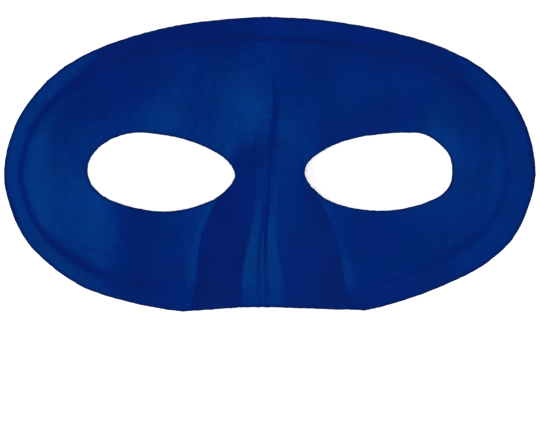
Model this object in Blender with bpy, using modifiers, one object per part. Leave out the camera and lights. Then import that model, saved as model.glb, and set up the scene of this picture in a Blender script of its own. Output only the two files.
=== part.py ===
"""Party eye mask: a half mask moulded in one piece from satin cloth on a stiff backing.

It lies face up, as it rests on a table. Seen from the front, +X is to the right and +Y is up
the face. +Z comes out of the face, and the table is the plane z = 0.
"""

import math
from collections import namedtuple

import bmesh
import bpy
from mathutils import Vector

# Driving sizes, in metres
MASK_WIDTH = 0.185
MASK_HEIGHT = 0.1023
WALL = 0.0012
FACE_DEPTH = 0.0215  # how far the temples sweep back behind the brow
SWEEP_HALF_WIDTH = 0.0868  # half the width of the swept part, between the flat temples
BROW_LEAN = 0.0048  # how far the top edge leans back
CHEEK_LEAN = 0.0056  # how far the lower edge leans back
REST_BLEND = 0.0010  # softens the turn from the swept form to the flat temples

EYE_WIDTH = 0.0514
EYE_HEIGHT = 0.0274
EYE_SPACING = 0.0757  # between the centres of the two eye holes
EYE_LEVEL = -0.0026  # the eye holes' centres, from mid height

NOSE_HEIGHT = 0.0139  # the ridge above the cheeks, at the lower edge
NOSE_BRIDGE = 0.0250  # the nose's least width, between the eyes
RIDGE_WIDTH = 0.0146  # the ridge's level top, at the lower edge
RIDGE_GROOVE_DEPTH = 0.0008  # the groove along the middle of the ridge
CREASE_WIDTH = 0.0040  # the level ledge beside the nose, at the lower edge
CREASE_DEPTH = 0.0012  # how far that ledge is pressed in, at the lower edge
CREASE_BOW = 0.0026  # how far the creases bow out from a straight line
FOREHEAD_FOLD_DEPTH = 0.0012
FOREHEAD_FOLD_LEFT = 0.0100  # the width of the fold's gentle side
FOREHEAD_FOLD_RIGHT = 0.0030  # the width of its steep side

BORDER_WIDTH = 0.0102  # from the cut edge to the top of the moulded step
BORDER_STEP = 0.0013  # how far the flat border lies below the moulded form
BORDER_DROOP = 0.0012  # how much further the cut edge bends down where the border droops
MOULD_SHIFT = 0.0024  # the moulded form sits this far to the left in the cut outline
SWELL_RISE = 0.0020  # scale of the soft swells and hollows

SWEEP_POWERS = (1.9, 2.1)  # the sweep's shape: level at the nose, and level again at the temples
SWELL_FADE = 8  # how late the swells fade out towards the temples
RIB_STEPS = 3  # mesh steps between two ribs
RING_SHARES = (0.0, 0.04, 0.11, 0.20, 0.30, 0.40, 0.50, 0.60, 0.70, 0.80, 0.90, 1.0)

Rib = namedtuple("Rib", "eye_x eye_y rim_x rim_y border bow droop")
# A rib runs from the edge of an eye hole to the mask's cut edge, and they go round each eye from the
# crown to the nose. Eye columns are shares of half the hole, rim columns of half the mask.
# border is how deep the border's step is there, bow how far the rib bows with the crease, and droop
# how far the cut edge bends down.
LEFT_RIBS = [
    Rib(0.757, 0.468, -0.051, 0.998, 1.0, 0.0, 0.2),
    Rib(0.568, 0.646, -0.180, 0.983, 1.0, 0.0, 0.5),
    Rib(0.297, 0.830, -0.338, 0.949, 1.0, 0.0, 0.8),
    Rib(-0.014, 0.944, -0.496, 0.884, 1.0, 0.0, 1.0),
    Rib(-0.324, 0.990, -0.646, 0.793, 1.0, 0.0, 1.0),
    Rib(-0.595, 0.888, -0.782, 0.656, 1.0, 0.0, 0.8),
    Rib(-0.811, 0.659, -0.887, 0.473, 1.0, 0.0, 0.3),
    Rib(-0.953, 0.354, -0.962, 0.255, 1.0, 0.0, 0.0),
    Rib(-1.000, 0.023, -1.000, -0.017, 1.0, 0.0, 0.0),
    Rib(-0.946, -0.308, -0.985, -0.241, 1.0, 0.0, 0.0),
    Rib(-0.784, -0.613, -0.925, -0.500, 1.0, 0.0, 0.0),
    Rib(-0.541, -0.817, -0.827, -0.684, 1.0, 0.0, 0.1),
    Rib(-0.243, -0.952, -0.706, -0.833, 1.0, 0.0, 0.2),
    Rib(0.081, -1.000, -0.571, -0.918, 1.0, 0.2, 0.2),
    Rib(0.405, -0.906, -0.447, -0.968, 0.8, 0.6, 0.1),
    Rib(0.620, -0.772, -0.372, -0.990, 0.3, 1.0, 0.0),
    Rib(0.730, -0.677, -0.328, -1.000, 0.0, 1.0, 0.0),
    Rib(0.810, -0.575, -0.302, -0.996, 0.0, 1.0, 0.0),
    Rib(0.872, -0.477, -0.204, -0.980, 0.0, 0.6, 0.0),
    Rib(0.919, -0.384, -0.106, -0.966, 0.0, 0.0, 0.0),
]
RIGHT_RIBS = [
    Rib(-0.764, 0.517, 0.031, 0.998, 1.0, 0.0, 0.2),
    Rib(-0.561, 0.707, 0.170, 0.985, 1.0, 0.0, 0.2),
    Rib(-0.290, 0.860, 0.332, 0.947, 1.0, 0.0, 0.3),
    Rib(0.022, 0.947, 0.490, 0.888, 1.0, 0.0, 0.6),
    Rib(0.333, 0.987, 0.644, 0.803, 1.0, 0.0, 0.9),
    Rib(0.604, 0.962, 0.784, 0.677, 1.0, 0.0, 0.9),
    Rib(0.821, 0.707, 0.889, 0.500, 1.0, 0.0, 0.4),
    Rib(0.957, 0.402, 0.964, 0.276, 1.0, 0.0, 0.1),
    Rib(0.997, 0.046, 1.000, -0.010, 1.0, 0.0, 0.0),
    Rib(0.963, -0.336, 0.983, -0.241, 1.0, 0.0, 0.0),
    Rib(0.821, -0.616, 0.915, -0.507, 0.8, 0.0, 0.1),
    Rib(0.564, -0.819, 0.795, -0.697, 0.6, 0.0, 0.1),
    Rib(0.252, -0.954, 0.671, -0.810, 0.6, 0.0, 0.0),
    Rib(-0.073, -0.980, 0.565, -0.888, 0.6, 0.2, 0.0),
    Rib(-0.439, -0.883, 0.464, -0.946, 0.5, 0.6, 0.0),
    Rib(-0.690, -0.708, 0.398, -0.977, 0.2, 1.0, 0.0),
    Rib(-0.800, -0.563, 0.357, -0.993, 0.0, 1.0, 0.0),
    Rib(-0.905, -0.390, 0.312, -0.988, 0.0, 1.0, 0.0),
    Rib(-0.948, -0.280, 0.180, -0.978, 0.0, 0.6, 0.0),
    Rib(-0.978, -0.180, 0.052, -0.969, 0.0, 0.0, 0.0),
]
CORNER = 16  # the ribs that end at the outline's lower corners
CREASE = 17  # the ribs along the foot of the nose
CROWN = Rib(0, 0, -0.010, 1.000, 1.0, 0, 0.1)  # the top of the mask, between the two first ribs
NOSE_TIP = Rib(0, 0, -0.027, -0.966, 0.0, 0, 0)  # the lower edge, between the two last ribs

# The eye holes' edges beside the nose, from below to above, as shares of half the hole
LEFT_INNER_EDGE = [(0.980, -0.232), (1.000, -0.066), (0.959, 0.137), (0.872, 0.316)]
RIGHT_INNER_EDGE = [(-0.997, -0.060), (-0.997, 0.066), (-0.954, 0.237), (-0.872, 0.380)]

NoseSection = namedtuple("NoseSection", "level ridge_x rise top groove crisp")
# From the top edge down. level is a share of half the height and ridge_x of half the width. The
# others are shares of NOSE_HEIGHT, RIDGE_WIDTH and RIDGE_GROOVE_DEPTH. crisp is 1 where straight
# flanks meet a level top, and 0 where the nose fades out softly.
NOSE_SECTIONS = [
    NoseSection(1.00, -0.010, 0.00, 0.55, 0.0, 0.0),
    NoseSection(0.70, -0.010, 0.00, 0.55, 0.0, 0.0),
    NoseSection(0.44, 0.014, 0.03, 0.55, 0.0, 0.0),
    NoseSection(0.17, -0.004, 0.15, 0.55, 0.1, 0.1),
    NoseSection(-0.04, -0.011, 0.34, 0.56, 0.5, 0.8),
    NoseSection(-0.28, -0.014, 0.53, 0.50, 0.9, 1.0),
    NoseSection(-0.48, -0.025, 0.69, 0.60, 1.0, 1.0),
    NoseSection(-0.72, -0.029, 0.84, 0.93, 1.0, 1.0),
    NoseSection(-0.97, -0.027, 1.00, 1.00, 1.0, 1.0),
]

BorderRow = namedtuple("BorderRow", "inset drop droop")
# Across the border, from the cut edge to the top of the step: shares of its width, step and droop
BORDER_ROWS = [
    BorderRow(0.00, 1.00, 1.00),
    BorderRow(0.30, 1.00, 0.56),
    BorderRow(0.56, 1.00, 0.18),
    BorderRow(0.68, 0.90, 0.04),
    BorderRow(0.80, 0.12, 0.00),
    BorderRow(1.00, 0.00, 0.00),
]

Swell = namedtuple("Swell", "x y half_width half_height rise")
# Soft swells and hollows: places and sizes are shares of half the mask, rise is a share of SWELL_RISE
SWELLS = [
    Swell(-0.08, 0.47, 0.25, 0.46, 0.80),
    Swell(-0.63, 0.27, 0.33, 0.36, 1.25),
    Swell(-0.48, 0.43, 0.19, 0.27, 0.52),
    Swell(-0.81, -0.40, 0.25, 1.05, 1.25),
    Swell(-0.57, -0.65, 0.15, 1.10, -0.37),
    Swell(0.00, -0.23, 0.14, 0.78, -0.55),
    Swell(0.12, 0.22, 0.18, 0.58, 1.25),
    Swell(0.19, -0.23, 0.33, 1.10, 1.25),
    Swell(0.36, 0.57, 0.26, 0.42, 1.25),
    Swell(0.52, 0.10, 0.31, 0.46, -1.15),
    Swell(0.75, 0.19, 0.20, 0.28, 1.22),
    Swell(0.79, -0.22, 0.30, 0.61, 1.18),
    Swell(-0.22, -0.48, 0.37, 0.75, 0.50),
    Swell(0.25, -0.60, 0.57, 0.26, -0.51),
    Swell(0.61, 0.68, 0.27, 0.69, 1.21),
    Swell(-0.72, -0.23, 0.45, 0.30, -0.54),
    Swell(-0.23, 0.71, 0.48, 0.47, 0.93),
]


def section_at(sections, level):
    """Reads a table of sections at any level, smoothly between its rows."""
    levels = [row.level for row in sections]
    if level >= levels[0]:
        return sections[0]
    if level <= levels[-1]:
        return sections[-1]
    i = next(k for k in range(len(levels) - 1) if levels[k + 1] <= level)
    t = (level - levels[i]) / (levels[i + 1] - levels[i])

    def slope(k, column):
        low, high = max(k - 1, 0), min(k + 1, len(levels) - 1)
        rise = sections[high][column] - sections[low][column]
        return rise / (levels[high] - levels[low]) * (levels[i + 1] - levels[i])

    def value(column):
        a, b = sections[i][column], sections[i + 1][column]
        start, end = slope(i, column), slope(i + 1, column)
        curve = (2 * t**3 - 3 * t**2 + 1) * a + (t**3 - 2 * t**2 + t) * start
        return curve + (3 * t**2 - 2 * t**3) * b + (t**3 - t**2) * end

    return type(sections[0])(*[value(c) for c in range(len(sections[0]))])


def curve_through(points, closed):
    """A smooth curve through the points, with RIB_STEPS steps between each two of them."""
    count = len(points)
    spans = count if closed else count - 1

    def point(k):
        if closed:
            return points[k % count]
        if k < 0:
            return points[0] * 2 - points[1]
        if k >= count:
            return points[-1] * 2 - points[-2]
        return points[k]

    curve = []
    for i in range(spans):
        a, b, c, d = (point(i + k) for k in (-1, 0, 1, 2))
        for step in range(RIB_STEPS):
            t = step / RIB_STEPS
            bend = (a * -1 + b * 3 - c * 3 + d) * t**3 + (a * 2 - b * 5 + c * 4 - d) * t**2
            curve.append((bend + (c - a) * t + b * 2) / 2)
    if not closed:
        curve.append(points[-1].copy())
    return curve


def eye_point(side, share_x, share_y):
    """A point of an eye hole's edge. side is -1 for the left hole and 1 for the right one."""
    x = side * EYE_SPACING / 2 + share_x * EYE_WIDTH / 2
    return Vector((x, EYE_LEVEL + share_y * EYE_HEIGHT / 2))


def rim_point(side, rib):
    """A rib's end on the cut edge, then the border's depth and droop there, then the point that the
    rib runs to. A rib of the middle has no eye hole, so it runs straight across the mask."""
    x, y = rib.rim_x * MASK_WIDTH / 2, rib.rim_y * MASK_HEIGHT / 2
    target = eye_point(side, rib.eye_x, rib.eye_y) if side else Vector((x, 0))
    return Vector((x, y, rib.border, rib.droop, target.x, target.y))


def eye_edge(side, ribs, inner_edge):
    """The whole edge of one eye hole, from its first rib round the temple and back past the nose.
    The third number of each point is how far the mesh bows there."""
    points = [Vector((*eye_point(side, rib.eye_x, rib.eye_y), rib.bow)) for rib in ribs]
    points += [Vector((*eye_point(side, x, y), 0)) for x, y in inner_edge]
    return curve_through(points, closed=True)


def cut_edge():
    """The mask's outline as a closed loop, from the right corner round the nose to the left corner,
    then over the top. The ribs at the ridge run straight up, as those of the middle do."""
    left = [rim_point(-1, rib) for rib in LEFT_RIBS[:-1]] + [rim_point(0, LEFT_RIBS[-1])]
    right = [rim_point(1, rib) for rib in RIGHT_RIBS[:-1]] + [rim_point(0, RIGHT_RIBS[-1])]
    tip, crown = rim_point(0, NOSE_TIP), rim_point(0, CROWN)
    under_nose = right[CORNER:] + [tip] + left[: CORNER - 1 : -1]
    over_top = left[CORNER::-1] + [crown] + right[: CORNER + 1]
    return curve_through(under_nose, closed=False)[:-1] + curve_through(over_top, closed=False)[:-1]


def crease_at(side, y):
    """The foot of the nose at a height y on the face: its x, and how far down the crease that is."""
    rib = (LEFT_RIBS if side < 0 else RIGHT_RIBS)[CREASE]
    top = eye_point(side, rib.eye_x, rib.eye_y)
    foot = rim_point(side, rib)
    down = (top.y - y) / (top.y - foot.y)
    bowed = (top.y - y) / (top.y - foot.y - BORDER_WIDTH)
    bow = CREASE_BOW * 4 * bowed * (1 - bowed) if 0 < bowed < 1 else 0.0
    x = abs(top.x + (foot.x - top.x) * down) + bow
    return side * max(x, NOSE_BRIDGE / 2), min(1.0, max(0.0, down))


def nose_height(x, y):
    """The nose: two flanks that rise from the creases to a level top with a groove along it."""
    section = section_at(NOSE_SECTIONS, y / (MASK_HEIGHT / 2))
    ridge = section.ridge_x * MASK_WIDTH / 2
    offset = abs(x - ridge)
    reach = abs(crease_at(-1 if x < ridge else 1, y)[0] - ridge)
    if offset >= reach:
        return 0.0
    top = section.top * RIDGE_WIDTH / 2
    straight = min(1.0, (reach - offset) / (reach - top))
    soft = (1 + math.cos(math.pi * offset / reach)) / 2
    height = section.rise * NOSE_HEIGHT * (soft + (straight - soft) * section.crisp)
    groove = max(0.0, 1 - offset / top * RIB_STEPS)
    return height - section.groove * RIDGE_GROOVE_DEPTH * groove


def crease_ledge(x, y):
    """The creases beside the nose: level ledges pressed into the cheeks, wider further down."""
    foot, down = crease_at(-1 if x < 0 else 1, y)
    scale = 0.25 + 0.75 * down
    offset = abs(x) - abs(foot)
    width = CREASE_WIDTH * scale if offset > 0 else CREASE_WIDTH * 2
    fade = min(1.0, down * 12)
    return -CREASE_DEPTH * scale * fade * max(0.0, 1 - abs(offset) / width)


def forehead_fold(x, y):
    """The fold down the middle of the forehead, steep on its right side."""
    level = y / (MASK_HEIGHT / 2)
    if not 0.05 < level < 0.85:
        return 0.0
    fade = math.sin(math.pi * (level - 0.05) / 0.80) ** 0.6
    offset = x - section_at(NOSE_SECTIONS, level).ridge_x * MASK_WIDTH / 2
    width = FOREHEAD_FOLD_LEFT if offset < 0 else FOREHEAD_FOLD_RIGHT
    return -FOREHEAD_FOLD_DEPTH * fade * max(0.0, 1 - abs(offset) / width) ** 1.5


def swells(x, y):
    """All the soft swells and hollows together."""
    total = 0.0
    for swell in SWELLS:
        u = (x / (MASK_WIDTH / 2) - swell.x) / swell.half_width
        v = (y / (MASK_HEIGHT / 2) - swell.y) / swell.half_height
        total += swell.rise * SWELL_RISE * max(0.0, 1 - u * u - v * v) ** 2
    return total


def face_height(x, y, drop=0.0):
    """The front of the mask above the table, drop metres lower where the border lies back."""
    across = min(1.0, abs(x) / SWEEP_HALF_WIDTH)
    sweep = FACE_DEPTH * (1 - across ** SWEEP_POWERS[0]) ** SWEEP_POWERS[1]
    lean = (BROW_LEAN if y > 0 else CHEEK_LEAN) * (y / (MASK_HEIGHT / 2)) ** 2
    form = sweep - lean + nose_height(x, y) + crease_ledge(x, y) + forehead_fold(x, y)
    form += swells(x, y) * (1 - across ** SWELL_FADE) - BORDER_STEP
    if form < REST_BLEND:
        form = max(0.0, form + REST_BLEND) ** 2 / (4 * REST_BLEND)
    return WALL + max(0.0, BORDER_STEP - drop + form)


def on_face(point, drop=0.0):
    return Vector((point.x, point.y, face_height(point.x, point.y, drop)))


def border_loops(edge):
    """The border's rows, from the cut edge inwards along the ribs, each as (x, y, drop)."""
    loops = []
    for row in BORDER_ROWS:
        loop = []
        for i, point in enumerate(edge):
            x, y, border, droop, target_x, target_y = point
            ahead = edge[(i + RIB_STEPS) % len(edge)]
            along = (ahead - edge[i - RIB_STEPS]).xy.normalized()
            outward = Vector((-along.y, along.x))
            inward = Vector((target_x - x, target_y - y)).normalized()
            width = (BORDER_WIDTH + MOULD_SHIFT * outward.x) / -inward.dot(outward)
            place = point.xy + inward * width * row.inset
            drop = row.drop * BORDER_STEP * min(1.0, border)
            drop += row.droop * BORDER_DROOP * max(0.0, droop)
            loop.append(Vector((place.x, place.y, drop)))
        loops.append(loop)
    return loops


def loft(bm, rows, closed=False):
    """Quads between rows of as many points each. Where two lofts meet, their points are the same."""
    made = [[bm.verts.new(point) for point in row] for row in rows]
    for low, high in zip(made, made[1:]):
        for i in range(len(low) if closed else len(low) - 1):
            k = (i + 1) % len(low)
            bm.faces.new((low[i], low[k], high[k], high[i]))


def ridge_rows(top_row, lower_row):
    """The strip along the ridge, from the border above to the border below it."""
    count = RIB_STEPS * (len(LEFT_INNER_EDGE) + 1)
    half_columns = RIB_STEPS
    rows = [[on_face(point) for point in top_row]]
    for k in range(1, count):
        y = top_row[half_columns].y + (lower_row[half_columns].y - top_row[half_columns].y) * k / count
        section = section_at(NOSE_SECTIONS, y / (MASK_HEIGHT / 2))
        middle = section.ridge_x * MASK_WIDTH / 2
        column = section.top * RIDGE_WIDTH / 2 / half_columns
        steps = range(-half_columns, half_columns + 1)
        rows.append([on_face(Vector((middle + step * column, y))) for step in steps])
    rows.append([on_face(point) for point in lower_row])
    return rows


def front_face():
    """The front surface as one mesh of quads: the border, the ridge strip and a web round each eye."""
    bm = bmesh.new()
    edge = cut_edge()
    loops = border_loops(edge)
    loft(bm, [[on_face(p, p.z) for p in loop] for loop in loops], closed=True)

    # The loop starts at the right corner. These are the places of the ribs' ends along it.
    inner = loops[-1]
    right_nose = RIB_STEPS * (len(RIGHT_RIBS) - 1 - CORNER)
    left_nose = right_nose + 2 * RIB_STEPS
    left_crown = left_nose + RIB_STEPS * (len(LEFT_RIBS) - 1)
    right_crown = left_crown + 2 * RIB_STEPS
    strip = ridge_rows(inner[left_crown : right_crown + 1], inner[right_nose : left_nose + 1][::-1])
    loft(bm, strip)

    left_rim = [on_face(p) for p in inner[left_nose : left_crown + 1][::-1]]
    left_rim += [row[0] for row in strip[-2:0:-1]]
    right_rim = [on_face(p) for p in inner[right_crown:] + inner[: right_nose + 1]]
    right_rim += [row[-1] for row in strip[-2:0:-1]]
    for side, ribs, inner_edge, rim in (
        (-1, LEFT_RIBS, LEFT_INNER_EDGE, left_rim),
        (1, RIGHT_RIBS, RIGHT_INNER_EDGE, right_rim),
    ):
        eye = eye_edge(side, ribs, inner_edge)
        rings = []
        for share in RING_SHARES[:-1]:
            bow = Vector((side * CREASE_BOW * 4 * share * (1 - share), 0))
            rings.append([on_face(e.xy.lerp(r.xy, share) + bow * e.z) for e, r in zip(eye, rim)])
        loft(bm, rings + [rim], closed=True)

    bmesh.ops.remove_doubles(bm, verts=bm.verts, dist=1e-6)
    bmesh.ops.recalc_face_normals(bm, faces=bm.faces)
    if sum(face.normal.z for face in bm.faces) < 0:
        bmesh.ops.reverse_faces(bm, faces=bm.faces)
    return bm


def satin_blue():
    material = bpy.data.materials.new("satin_blue")
    material.use_nodes = True
    shader = material.node_tree.nodes["Principled BSDF"]
    shader.inputs["Base Color"].default_value = (0.001, 0.021, 0.180, 1.0)
    shader.inputs["Roughness"].default_value = 0.45
    shader.inputs["Metallic"].default_value = 0.0
    return material


def moulded_mask(collection):
    """The mask itself: the front surface, thickened backwards to the cloth's wall."""
    bm = front_face()
    xs = [vert.co.x for vert in bm.verts]
    ys = [vert.co.y for vert in bm.verts]
    middle = Vector(((min(xs) + max(xs)) / 2, (min(ys) + max(ys)) / 2, 0))
    bmesh.ops.translate(bm, verts=bm.verts, vec=-middle)
    mesh = bpy.data.meshes.new("moulded_mask")
    bm.to_mesh(mesh)
    bm.free()
    mesh.shade_smooth()
    mesh.materials.append(satin_blue())
    mask = bpy.data.objects.new("moulded_mask", mesh)
    collection.objects.link(mask)
    wall = mask.modifiers.new("wall", "SOLIDIFY")
    wall.thickness = WALL
    wall.offset = -1
    wall.use_even_offset = True
    wall.use_quality_normals = True
    return mask


def main():
    for old in list(bpy.data.objects):
        bpy.data.objects.remove(old)
    collection = bpy.data.collections.new("party_eye_mask")
    bpy.context.scene.collection.children.link(collection)
    moulded_mask(collection)


main()
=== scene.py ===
# Party eye mask: the looks of its moulded satin shell, lying face up on a plain pale floor.
# Lengths are in metres, unless a name ends in Mm. Angles are in degrees.
import math
import random

import bpy
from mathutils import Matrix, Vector, kdtree


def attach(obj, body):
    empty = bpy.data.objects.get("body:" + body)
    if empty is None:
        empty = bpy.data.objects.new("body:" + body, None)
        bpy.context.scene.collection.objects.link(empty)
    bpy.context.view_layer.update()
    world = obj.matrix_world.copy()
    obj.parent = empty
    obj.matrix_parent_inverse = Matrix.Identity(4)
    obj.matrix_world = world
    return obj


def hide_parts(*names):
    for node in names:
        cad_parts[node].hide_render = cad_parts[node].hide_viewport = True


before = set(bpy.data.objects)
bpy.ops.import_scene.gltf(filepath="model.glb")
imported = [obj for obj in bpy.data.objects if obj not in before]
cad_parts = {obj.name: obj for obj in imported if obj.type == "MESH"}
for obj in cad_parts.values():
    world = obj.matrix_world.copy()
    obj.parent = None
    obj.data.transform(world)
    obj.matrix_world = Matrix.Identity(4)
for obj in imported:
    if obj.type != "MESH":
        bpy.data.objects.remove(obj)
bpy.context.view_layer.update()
print("stage: the frame is in")


def linear(hexText):
    # an sRGB hex value as linear red, green, blue and alpha
    shares = [int(hexText[i : i + 2], 16) / 255 for i in (1, 3, 5)]
    return (*[c / 12.92 if c <= 0.04045 else ((c + 0.055) / 1.055) ** 2.4 for c in shares], 1.0)


def addNode(tree, kind, settings=None, links=None, stops=()):
    # One node, with its inputs and properties set, other nodes' outputs linked into it, and the
    # (position, colour) stops of a colour ramp.
    node = tree.nodes.new(kind)
    for name, value in (settings or {}).items():
        if isinstance(name, int) or name in node.inputs:
            node.inputs[name].default_value = value
        else:
            setattr(node, name, value)
    for name, output in (links or {}).items():
        tree.links.new(output, node.inputs[name])
    for index, (position, colour) in enumerate(stops):
        node.color_ramp.elements[index].position = position
        node.color_ramp.elements[index].color = linear(colour)
    return node


def setInputs(shader, values):
    # constant values on a shader's sockets
    for name, value in values.items():
        shader.inputs[name].default_value = value


def newMaterial(name):
    material = bpy.data.materials.new(name)
    material.use_nodes = True
    return material, material.node_tree.nodes["Principled BSDF"]


mmPerMetre = 1000.0


def objectMm(tree):
    # object coordinates in millimetres
    place = addNode(tree, "ShaderNodeTexCoord").outputs["Object"]
    settings = {"operation": "SCALE", "Scale": mmPerMetre}
    return addNode(tree, "ShaderNodeVectorMath", settings, {0: place}).outputs[0]


def clamp(value, low=0.0, high=1.0):
    return max(low, min(high, value))


def selectOnly(piece):
    bpy.ops.object.select_all(action="DESELECT")
    piece.select_set(True)
    bpy.context.view_layer.objects.active = piece


maskLook = {
    "weld": 0.00001,
    "quadAngle": 50,  # the solid's triangles join back into quads where they bend less than this
    "quadSkew": 80,  # and where the quad's corners are off square by less than this
    "foldAngle": 13,  # edges sharper than this are pressed folds
    "foldCrease": 0.45,
    "rimAngle": 79,  # edges sharper than this are the cut edges
    "rimCrease": 0.75,
    "levels": 2,
    "shadeAngle": 40,
    "puckerDepth": 0.0001,
    "puckerSize": 0.006,
    "puckerDetail": 0,
    "nickDepth": 0.0004,  # how far the die-cut edge wanders in and out
    "nickSize": 0.0016,
    "nickDetail": 2,
    "rimWeight": 0.98,  # a vertex on a cut edge weighs more than this in the group "rim"
    "outlineReach": 0.75,  # the outline lies past this, the eye holes inside it (1: an ellipse)
    "stepBand": (0.004, 0.010),  # the step up from the border lies this far in from the outline
    "stepBandFade": 0.0015,
    "templeFade": (0.040, 0.060),  # this far from the middle the step is crisp, and then soft
    "stepRounds": 45,
    "wearFade": (0.0002, 0.0011),  # an edge's wear is whole this near to it, and gone this far off
    "borderFade": (0.006, 0.009),
    "leftBorderGloss": 0.5,
    "glossTurn": 0.5,  # the border's gloss changes over this share of the mask's width
    "mapWidth": 0.25,  # how much cloth the map spans
    "reverseTilt": -0.2,  # faces that look down more than this are the reverse
}


def selectSharp(angle):
    bpy.ops.mesh.select_all(action="DESELECT")
    bpy.ops.mesh.edges_select_sharp(sharpness=math.radians(angle))


def displace(piece, look, name, group=""):
    # shifts the surface in and out by a cloudy pattern
    pattern = bpy.data.textures.new(name, "CLOUDS")
    pattern.noise_scale = look[name + "Size"]
    pattern.noise_depth = look[name + "Detail"]
    modifier = piece.modifiers.new(name, "DISPLACE")
    modifier.texture = pattern
    modifier.texture_coords = "LOCAL"
    modifier.strength = look[name + "Depth"]
    modifier.vertex_group = group
    bpy.ops.object.modifier_apply(modifier=name)


def rimPoints(piece, look):
    # the vertices on the cut edges
    group = piece.vertex_groups["rim"].index
    onRim = []
    for vertex in piece.data.vertices:
        for entry in vertex.groups:
            if entry.group == group and entry.weight > look["rimWeight"]:
                onRim.append(vertex)
    return onRim


def nearness(piece, places, inner, outer):
    # for each vertex, 1 nearer than inner to one of the places, fading to 0 at outer
    tree = kdtree.KDTree(len(places))
    for index, place in enumerate(places):
        tree.insert(place, index)
    tree.balance()
    shares = []
    for vertex in piece.data.vertices:
        away = tree.find(vertex.co)[2]
        shares.append(clamp((outer - away) / (outer - inner)))
    return shares


def outlinePoints(piece, onRim, look):
    # the points of the cut edges that lie round the outside
    halfWidth, halfHeight = piece.dimensions.x / 2, piece.dimensions.y / 2
    outline = []
    for vertex in onRim:
        across, up = vertex.co.x / halfWidth, vertex.co.y / halfHeight
        if across * across + up * up > look["outlineReach"]:
            outline.append(vertex.co)
    return outline


def softenStep(piece, look):
    # At the temples the press left the step up from the border soft.
    outline = outlinePoints(piece, rimPoints(piece, look), look)
    inner, outer = look["stepBand"]
    fade = look["stepBandFade"]
    near = nearness(piece, outline, inner - fade, inner)
    far = nearness(piece, outline, outer, outer + fade)
    crisp, soft = look["templeFade"]
    group = piece.vertex_groups.new(name="step")
    for vertex in piece.data.vertices:
        temple = clamp((abs(vertex.co.x) - crisp) / (soft - crisp))
        share = temple * (1 - near[vertex.index]) * far[vertex.index]
        if share > 0:
            group.add([vertex.index], share, "REPLACE")
    modifier = piece.modifiers.new("step", "SMOOTH")
    modifier.iterations = look["stepRounds"]
    modifier.vertex_group = "step"
    bpy.ops.object.modifier_apply(modifier="step")


def buildMask(look):
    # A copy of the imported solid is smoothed, so the cloth keeps every fold of the form under it.
    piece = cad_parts["moulded_mask"].copy()
    piece.data = piece.data.copy()
    piece.name = "satin_mask"
    piece.parent = None
    for key in list(piece.keys()):
        del piece[key]
    bpy.context.scene.collection.objects.link(piece)
    selectOnly(piece)
    if piece.data.has_custom_normals:
        bpy.ops.mesh.customdata_custom_splitnormals_clear()
    piece.vertex_groups.new(name="rim")

    bpy.ops.object.mode_set(mode="EDIT")
    bpy.ops.mesh.select_mode(type="EDGE")
    bpy.ops.mesh.select_all(action="SELECT")
    bpy.ops.mesh.remove_doubles(threshold=look["weld"])
    bpy.ops.mesh.tris_convert_to_quads(
        face_threshold=math.radians(look["quadAngle"]),
        shape_threshold=math.radians(look["quadSkew"]),
    )
    selectSharp(look["foldAngle"])
    bpy.ops.transform.edge_crease(value=look["foldCrease"])
    selectSharp(look["rimAngle"])
    bpy.ops.transform.edge_crease(value=look["rimCrease"] - look["foldCrease"])
    bpy.ops.object.vertex_group_assign()
    bpy.ops.object.mode_set(mode="OBJECT")

    smooth = piece.modifiers.new("smooth", "SUBSURF")
    smooth.levels = smooth.render_levels = look["levels"]
    bpy.ops.object.modifier_apply(modifier="smooth")
    softenStep(piece, look)
    displace(piece, look, "pucker")
    displace(piece, look, "nick", "rim")
    bpy.ops.object.shade_smooth_by_angle(angle=math.radians(look["shadeAngle"]))
    return piece


def borderShares(piece, onRim, look):
    # How far each point lies in the flat border, which the press gripped and dulled. On this mask
    # it is duller on the right.
    halfTurn = piece.dimensions.x / 2 * look["glossTurn"]
    shares = nearness(piece, outlinePoints(piece, onRim, look), *look["borderFade"])
    for vertex in piece.data.vertices:
        right = clamp(vertex.co.x / halfTurn, -1.0)
        shares[vertex.index] *= 1 - look["leftBorderGloss"] * (1 - right) / 2
    return shares


def clothMap(piece, look, shares):
    # The cloth's own map: its threads ran straight before it was pressed, so it is flat from above,
    # with the middle of the mask in its middle. Attributes mark the cut edges and the border.
    layers = piece.data.uv_layers
    while layers:
        layers.remove(layers[0])
    layer = layers.new(name="cloth")
    for loop in piece.data.loops:
        place = piece.data.vertices[loop.vertex_index].co
        across, up = place.x / look["mapWidth"], place.y / look["mapWidth"]
        layer.data[loop.index].uv = (0.5 + across, 0.5 + up)
    for name, values in shares.items():
        attribute = piece.data.attributes.new(name, "FLOAT", "POINT")
        attribute.data.foreach_set("value", values)


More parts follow.
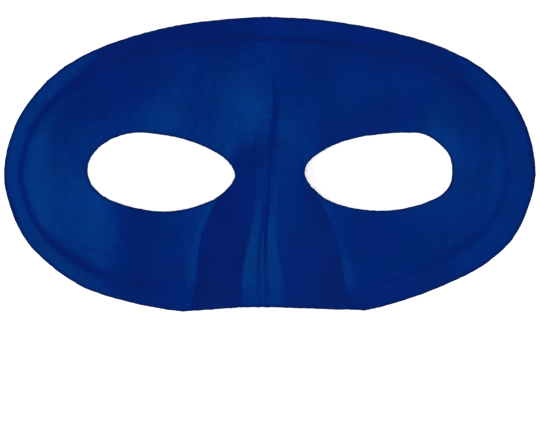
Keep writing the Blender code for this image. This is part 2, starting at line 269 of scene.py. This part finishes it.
satinLook = {
    "paleDye": "#03156e",
    "deepDye": "#030f5f",
    "wornDye": "#020c4c",  # along the cut edges, where the floats are broken
    "dyeStops": (0.5, 1.0),  # where on the scale of the clouds the dye is deep, and where pale
    "patchMm": 14.0,  # how large the patches of deeper and paler dye are
    "patchDetail": 3.0,
    "streaksPerMm": (0.25, 1.6, 0.0),  # faint uneven threads, long across the mask and thin up it
    "streakDetail": 2.0,
    "streakShare": 0.5,
    "gloss": "#0c9ff8",
    "glossGain": 9.2,
    "index": 1.15,
    "dimpleMm": 3.6,  # where the cloth didn't lie quite flat on its stiff backing
    "dimpleDetail": 1.0,
    "dimpleDepth": 0.0002,
    "ruffleMm": 1.5,  # the grain of the pressed cloth
    "ruffleDetail": 2.0,
    "ruffleDepth": 0.00011,
    "threadMm": 0.8,  # real satin has about 0.1 mm threads; drawn coarser, so that they show
    "threadWander": 0.6,
    "threadDetail": 1.0,
    "threadDetailScale": 2.0,
    "threadDepth": 0.00004,
    "threadStrength": 0.2,
    "roughness": 0.49,
    "borderRoughness": 0.64,
    "wornRoughness": 0.75,
    "anisotropy": 0.3,
    "sheen": 0.12,
    "sheenRoughness": 0.4,
    "sheenTint": "#3f7df0",
}
waveScale = 0.314  # at this scale a wave texture has one band to each unit
mixFirst, mixSecond, mixResult = 6, 7, 2  # the colour sockets of a mix node, by their numbers


def dyedCloth(tree, mm, look, edge):
    # the dye's colour, in deeper and paler patches and faint streaks, and darker at the cut edges
    patchSettings = {"Scale": 1 / look["patchMm"], "Detail": look["patchDetail"]}
    patches = addNode(tree, "ShaderNodeTexNoise", patchSettings, {"Vector": mm})
    slub = addNode(tree, "ShaderNodeMapping", {"Scale": look["streaksPerMm"]}, {"Vector": mm})
    streakSettings = {"Scale": 1.0, "Detail": look["streakDetail"]}
    streaks = addNode(tree, "ShaderNodeTexNoise", streakSettings, {"Vector": slub.outputs[0]})
    clouds = addNode(
        tree,
        "ShaderNodeMath",
        {"operation": "MULTIPLY_ADD", 1: look["streakShare"]},
        {0: streaks.outputs["Fac"], 2: patches.outputs["Fac"]},
    )
    stops = zip(look["dyeStops"], (look["deepDye"], look["paleDye"]))
    dye = addNode(tree, "ShaderNodeValToRGB", {}, {"Fac": clouds.outputs[0]}, stops)
    worn = addNode(
        tree,
        "ShaderNodeMix",
        {"data_type": "RGBA", mixSecond: linear(look["wornDye"])},
        {"Factor": edge, mixFirst: dye.outputs["Color"]},
    )
    return worn.outputs[mixResult]


def clothRelief(tree, mm, look):
    # the dimples, then the grain on them, then the rows of thread on both
    normal = None
    for name in ("dimple", "ruffle"):
        noiseSettings = {"Scale": 1 / look[name + "Mm"], "Detail": look[name + "Detail"]}
        noise = addNode(tree, "ShaderNodeTexNoise", noiseSettings, {"Vector": mm})
        links = {"Height": noise.outputs["Fac"]}
        if normal is not None:
            links["Normal"] = normal
        settings = {"Strength": 1.0, "Distance": look[name + "Depth"]}
        normal = addNode(tree, "ShaderNodeBump", settings, links).outputs["Normal"]
    rows = addNode(
        tree,
        "ShaderNodeTexWave",
        {
            "wave_type": "BANDS",
            "bands_direction": "Y",
            "Scale": waveScale / look["threadMm"],
            "Distortion": look["threadWander"],
            "Detail": look["threadDetail"],
            "Detail Scale": look["threadDetailScale"],
        },
        {"Vector": mm},
    )
    weave = addNode(
        tree,
        "ShaderNodeBump",
        {"Strength": look["threadStrength"], "Distance": look["threadDepth"]},
        {"Height": rows.outputs["Fac"], "Normal": normal},
    )
    return weave.outputs["Normal"]


def satinCloth(look):
    # Acetate satin, woven with long floats: a soft streak of light across the threads.
    material, shader = newMaterial("acetate_satin")
    tree = material.node_tree
    mm = objectMm(tree)
    edge = addNode(tree, "ShaderNodeAttribute", {"attribute_name": "cutEdge"}).outputs["Fac"]
    border = addNode(tree, "ShaderNodeAttribute", {"attribute_name": "border"}).outputs["Fac"]
    tree.links.new(dyedCloth(tree, mm, look, edge), shader.inputs["Base Color"])
    tree.links.new(clothRelief(tree, mm, look), shader.inputs["Normal"])

    dulled = addNode(
        tree,
        "ShaderNodeMapRange",
        {"To Min": look["roughness"], "To Max": look["borderRoughness"]},
        {"Value": border},
    )
    worn = addNode(
        tree,
        "ShaderNodeMath",
        {"operation": "MULTIPLY_ADD", 1: look["wornRoughness"] - look["roughness"]},
        {0: edge, 2: dulled.outputs[0]},
    )
    tree.links.new(worn.outputs[0], shader.inputs["Roughness"])
    tangent = addNode(tree, "ShaderNodeTangent", {"direction_type": "UV_MAP", "uv_map": "cloth"})
    tree.links.new(tangent.outputs["Tangent"], shader.inputs["Tangent"])

    # Dyed filaments keep their gloss blue when it grazes them: a low index with a strong tint.
    tint = [share * look["glossGain"] for share in linear(look["gloss"])[:3]]
    constants = {
        "IOR": look["index"],
        "Specular Tint": (*tint, 1.0),
        "Anisotropic": look["anisotropy"],
        "Sheen Weight": look["sheen"],
        "Sheen Roughness": look["sheenRoughness"],
        "Sheen Tint": linear(look["sheenTint"]),
    }
    setInputs(shader, constants)
    return material


reverseLook = {
    "deepDye": "#031a4c",
    "paleDye": "#082a6e",
    "dyeStops": (0.45, 0.95),
    "grainMm": 0.9,
    "grainDetail": 4.0,
    "grainShare": 0.4,
    "grainStrength": 0.3,
    "grainDepth": 0.0001,
    "soakMm": 9.0,  # patches where the stiffener soaked in more
    "soakDetail": 2.0,
    "roughness": 0.85,
    "index": 1.45,
}


def stiffCloth(look):
    # The reverse: the same cloth soaked in stiffener, so it is flat and dull.
    material, shader = newMaterial("stiffened_cloth")
    tree = material.node_tree
    mm = objectMm(tree)
    noise = {}
    for name in ("grain", "soak"):
        settings = {"Scale": 1 / look[name + "Mm"], "Detail": look[name + "Detail"]}
        noise[name] = addNode(tree, "ShaderNodeTexNoise", settings, {"Vector": mm}).outputs["Fac"]
    clouds = addNode(
        tree,
        "ShaderNodeMath",
        {"operation": "MULTIPLY_ADD", 1: look["grainShare"]},
        {0: noise["grain"], 2: noise["soak"]},
    )
    stops = zip(look["dyeStops"], (look["deepDye"], look["paleDye"]))
    dye = addNode(tree, "ShaderNodeValToRGB", {}, {"Fac": clouds.outputs[0]}, stops)
    tree.links.new(dye.outputs["Color"], shader.inputs["Base Color"])
    bump = addNode(
        tree,
        "ShaderNodeBump",
        {"Strength": look["grainStrength"], "Distance": look["grainDepth"]},
        {"Height": noise["grain"]},
    )
    tree.links.new(bump.outputs["Normal"], shader.inputs["Normal"])
    setInputs(shader, {"Roughness": look["roughness"], "IOR": look["index"]})
    return material


mask = buildMask(maskLook)
rim = rimPoints(mask, maskLook)
wear = nearness(mask, [vertex.co for vertex in rim], *maskLook["wearFade"])
clothMap(mask, maskLook, {"cutEdge": wear, "border": borderShares(mask, rim, maskLook)})
mask.data.materials.clear()
mask.data.materials.append(satinCloth(satinLook))
mask.data.materials.append(stiffCloth(reverseLook))
for face in mask.data.polygons:
    face.material_index = 1 if face.normal.z < maskLook["reverseTilt"] else 0
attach(mask, "root")
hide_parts("moulded_mask")
print("stage: the mask has", len(mask.data.polygons), "faces")

frayLook = {
    "seed": 7,
    "count": 170,
    "shortest": 0.0003,
    "longest": 0.0010,
    "root": 0.0004,  # how deep a thread starts inside the cloth
    "radius": 0.00004,
    "bends": 3,
    "scatter": 0.8,  # how far a thread turns away from the way straight out
    "lift": 0.5,
    "curl": 0.35,
    "toneMm": 2.5,
    "toneStops": (0.3, 0.7),
    "roughness": 0.6,
}


def buildFray(look, points):
    # Loose ends of thread that stick out of the die-cut edges.
    random.seed(look["seed"])
    curve = bpy.data.curves.new("frayed_threads", "CURVE")
    curve.dimensions = "3D"
    curve.bevel_depth = look["radius"]
    curve.bevel_resolution = 0
    for start in random.sample(points, look["count"]):
        out = Vector((start.normal.x, start.normal.y, 0)).normalized()
        along = Vector((-out.y, out.x, 0))
        way = (out + along * random.uniform(-look["scatter"], look["scatter"])).normalized()
        side = Vector((-way.y, way.x, random.uniform(-look["lift"], look["lift"])))
        bend = random.uniform(-look["curl"], look["curl"])
        length = random.uniform(look["shortest"], look["longest"])
        spline = curve.splines.new("POLY")
        spline.points.add(look["bends"])
        for step, point in enumerate(spline.points):
            share = step / look["bends"]
            reach = way * (share * (length + look["root"]) - look["root"])
            place = start.co + reach + side * bend * length * share * share
            height = max(place.z, look["radius"] * 2)  # clear of the floor
            point.co = (place.x, place.y, height, 1.0)
    threads = bpy.data.objects.new("frayed_threads", curve)
    bpy.context.scene.collection.objects.link(threads)
    selectOnly(threads)
    bpy.ops.object.convert(target="MESH")
    return threads


def filament(look, cloth):
    # Acetate filament, drawn and dyed: the single threads of the satin, dull where they are broken.
    material, shader = newMaterial("acetate_filament")
    tree = material.node_tree
    settings = {"Scale": 1 / look["toneMm"]}
    tone = addNode(tree, "ShaderNodeTexNoise", settings, {"Vector": objectMm(tree)})
    stops = zip(look["toneStops"], (cloth["deepDye"], cloth["paleDye"]))
    dye = addNode(tree, "ShaderNodeValToRGB", {}, {"Fac": tone.outputs["Fac"]}, stops)
    tree.links.new(dye.outputs["Color"], shader.inputs["Base Color"])
    setInputs(shader, {"Roughness": look["roughness"]})
    return material


threads = buildFray(frayLook, rim)
threads.data.materials.clear()
threads.data.materials.append(filament(frayLook, satinLook))
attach(threads, "root")
print("stage: the frayed threads have", len(threads.data.polygons), "faces")

stageLook = {
    "floorSize": 8.0,
    "floorDrop": 0.0002,
    "floorColour": "#f4f4f4",
    "floorRoughness": 0.9,
    "floorGlow": 0.65,
    "worldStrength": 0.29,
    "cameraHeight": 3.0,
    "cameraX": 0.0001,
    "cameraY": -0.0191,
    "cameraReach": 20,
    "sensorMm": 36,
    "frameWidth": 0.18796,  # how much of the floor the picture spans
    "lampDistance": 1.2,
    "lampSize": 0.6,
}
white = (1, 1, 1, 1)


def buildFloor(look):
    # White card, uncoated, so it is flat and dull. It glows, so that no shadow shows in the eye holes.
    bpy.ops.object.select_all(action="DESELECT")
    bpy.ops.mesh.primitive_plane_add(size=look["floorSize"], location=(0, 0, -look["floorDrop"]))
    floor = bpy.context.object
    floor.name = "floor"
    bpy.ops.object.transform_apply(location=True, rotation=False, scale=False)
    material, shader = newMaterial("white_card")
    constants = {
        "Base Color": linear(look["floorColour"]),
        "Roughness": look["floorRoughness"],
        "Emission Color": white,
        "Emission Strength": look["floorGlow"],
    }
    setInputs(shader, constants)
    floor.data.materials.append(material)
    floor.visible_glossy = False  # in the photo no bright floor mirrors in the mask's steps


# soft boxes round the camera: azimuth from +X, elevation, and power in watts
lamps = {
    "key_front": {"azimuth": 180, "elevation": 80, "power": 6.5},
    "fill_below": {"azimuth": 270, "elevation": 64, "power": 3.0},
    "fill_right": {"azimuth": 0, "elevation": 64, "power": 1.6},
    "fill_upper_right": {"azimuth": 45, "elevation": 45, "power": 0.8},
    "low_right": {"azimuth": 355, "elevation": 18, "power": 0.6},
}


def buildLamps(look, table):
    for name, row in table.items():
        light = bpy.data.lights.new(name, "AREA")
        light.size = look["lampSize"]
        light.energy = row["power"]
        lamp = bpy.data.objects.new(name, light)
        azimuth = math.radians(row["azimuth"])
        elevation = math.radians(row["elevation"])
        level = math.cos(elevation)
        way = Vector((math.cos(azimuth) * level, math.sin(azimuth) * level, math.sin(elevation)))
        lamp.location = way * look["lampDistance"]
        lamp.rotation_euler = way.to_track_quat("Z", "Y").to_euler()
        lamp.visible_camera = False
        bpy.context.scene.collection.objects.link(lamp)


def buildWorld(look):
    world = bpy.data.worlds.new("studio")
    world.use_nodes = True
    setInputs(
        world.node_tree.nodes["Background"],
        {"Color": white, "Strength": look["worldStrength"]},
    )
    bpy.context.scene.world = world


def buildCamera(look):
    data = bpy.data.cameras.new("camera")
    data.sensor_width = look["sensorMm"]
    data.lens = data.sensor_width * look["cameraHeight"] / look["frameWidth"]
    data.clip_end = look["cameraReach"]
    camera = bpy.data.objects.new("camera", data)
    camera.location = (look["cameraX"], look["cameraY"], look["cameraHeight"])
    bpy.context.scene.collection.objects.link(camera)
    bpy.context.scene.camera = camera


buildFloor(stageLook)
buildLamps(stageLook, lamps)
buildWorld(stageLook)
buildCamera(stageLook)
bpy.context.scene.view_settings.view_transform = "Standard"
print("stage: floor, light and camera are in")
